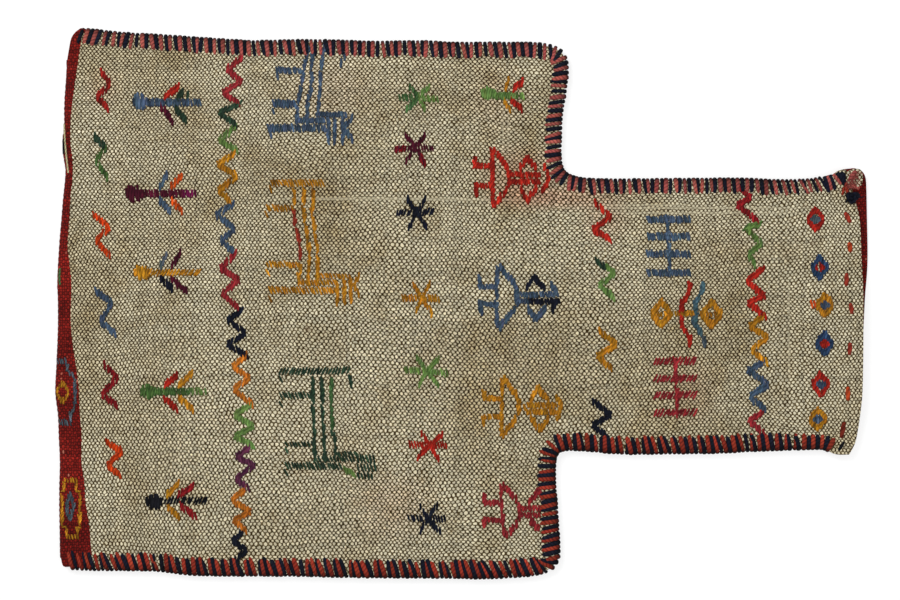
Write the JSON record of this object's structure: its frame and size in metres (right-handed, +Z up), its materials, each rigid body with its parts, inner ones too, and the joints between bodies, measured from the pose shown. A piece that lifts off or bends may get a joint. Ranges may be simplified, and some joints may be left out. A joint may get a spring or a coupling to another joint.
{
  "type": "woven salt bag",
  "caption": "Flat-woven bag with a wide body and a narrower neck, folded at its foot, overcast in two colours along both sides, with small inlaid motifs of animals, birds and stars on its face.",
  "frame": {"origin": "Middle of the bag's bounding box, at its underside, so that the bag lies flat on z = 0 with its patterned face up.", "axes": "+X runs along the bag from the fold at its foot to the mouth of its neck, +Z is up out of the patterned face, and +Y lies across the bag towards the side overcast in navy and salmon."},
  "size_m": [0.5666, 0.3814, 0.0126],
  "materials": {
    "cream_cloth": "undyed cream and brown plain weave, madder red on the back",
    "navy_salmon_yarn": "wraps of navy and salmon wool yarn in turn",
    "navy_brick_yarn": "wraps of navy and brick red wool yarn in turn",
    "navy_yarn": "dull wool yarn",
    "salmon_yarn": "fluffy wool yarn end",
    "brick_yarn": "dull wool yarn",
    "red_yarn": "dull wool yarn",
    "green_yarn": "dull wool yarn",
    "dark_green_yarn": "dull wool yarn",
    "orange_yarn": "dull wool yarn",
    "gold_yarn": "dull wool yarn",
    "blue_yarn": "dull wool yarn",
    "maroon_yarn": "dull wool yarn",
    "crimson_yarn": "dull wool yarn",
    "black_yarn": "dull wool yarn",
    "mixed_yarn": "runs of red, green, gold, blue and purple wool yarn"
  },
  "bodies": {
    "root": {"folded_cloth": "cream_cloth", "upper_overcast": "navy_salmon_yarn", "lower_overcast": "navy_brick_yarn", "overcast_knot": "navy_yarn", "overcast_tail": "salmon_yarn", "hem_stitch_1": "brick_yarn", "hem_stitch_2": "brick_yarn", "hem_stitch_3": "brick_yarn", "hem_stitch_4": "brick_yarn", "hem_stitch_5": "brick_yarn", "hem_stitch_6": "brick_yarn", "hem_stitch_7": "brick_yarn", "foot_zigzag_1": "red_yarn", "foot_zigzag_2": "green_yarn", "foot_zigzag_3": "orange_yarn", "foot_zigzag_4": "blue_yarn", "foot_zigzag_5": "maroon_yarn", "foot_zigzag_6": "orange_yarn", "bird_1": "blue_yarn", "bird_2": "maroon_yarn", "bird_3": "gold_yarn", "bird_4": "green_yarn", "bird_5": "black_yarn", "body_zigzag": "mixed_yarn", "animal_1": "blue_yarn", "animal_2": "gold_yarn", "animal_3": "dark_green_yarn", "star_1": "green_yarn", "star_2": "maroon_yarn", "star_3": "navy_yarn", "star_4": "gold_yarn", "star_5": "green_yarn", "star_6": "red_yarn", "star_7": "navy_yarn", "small_bird": "green_yarn", "doll_1": "red_yarn", "doll_2": "blue_yarn", "doll_3": "gold_yarn", "doll_4": "crimson_yarn", "neck_zigzag_1": "red_yarn", "neck_zigzag_2": "green_yarn", "neck_zigzag_3": "gold_yarn", "neck_zigzag_4": "navy_yarn", "comb_1": "blue_yarn", "comb_2": "crimson_yarn", "paired_lozenges": "gold_yarn", "mouth_zigzag": "mixed_yarn", "mouth_diamond_1": "red_yarn", "mouth_diamond_2": "blue_yarn", "mouth_diamond_3": "gold_yarn", "mouth_diamond_4": "navy_yarn", "mouth_diamond_5": "red_yarn", "mouth_diamond_6": "gold_yarn", "strip_bracket": "blue_yarn", "strip_half_diamond": "gold_yarn", "strip_cartouche": "gold_yarn", "strip_inner_diamond": "blue_yarn"}
  },
  "joints": []
}
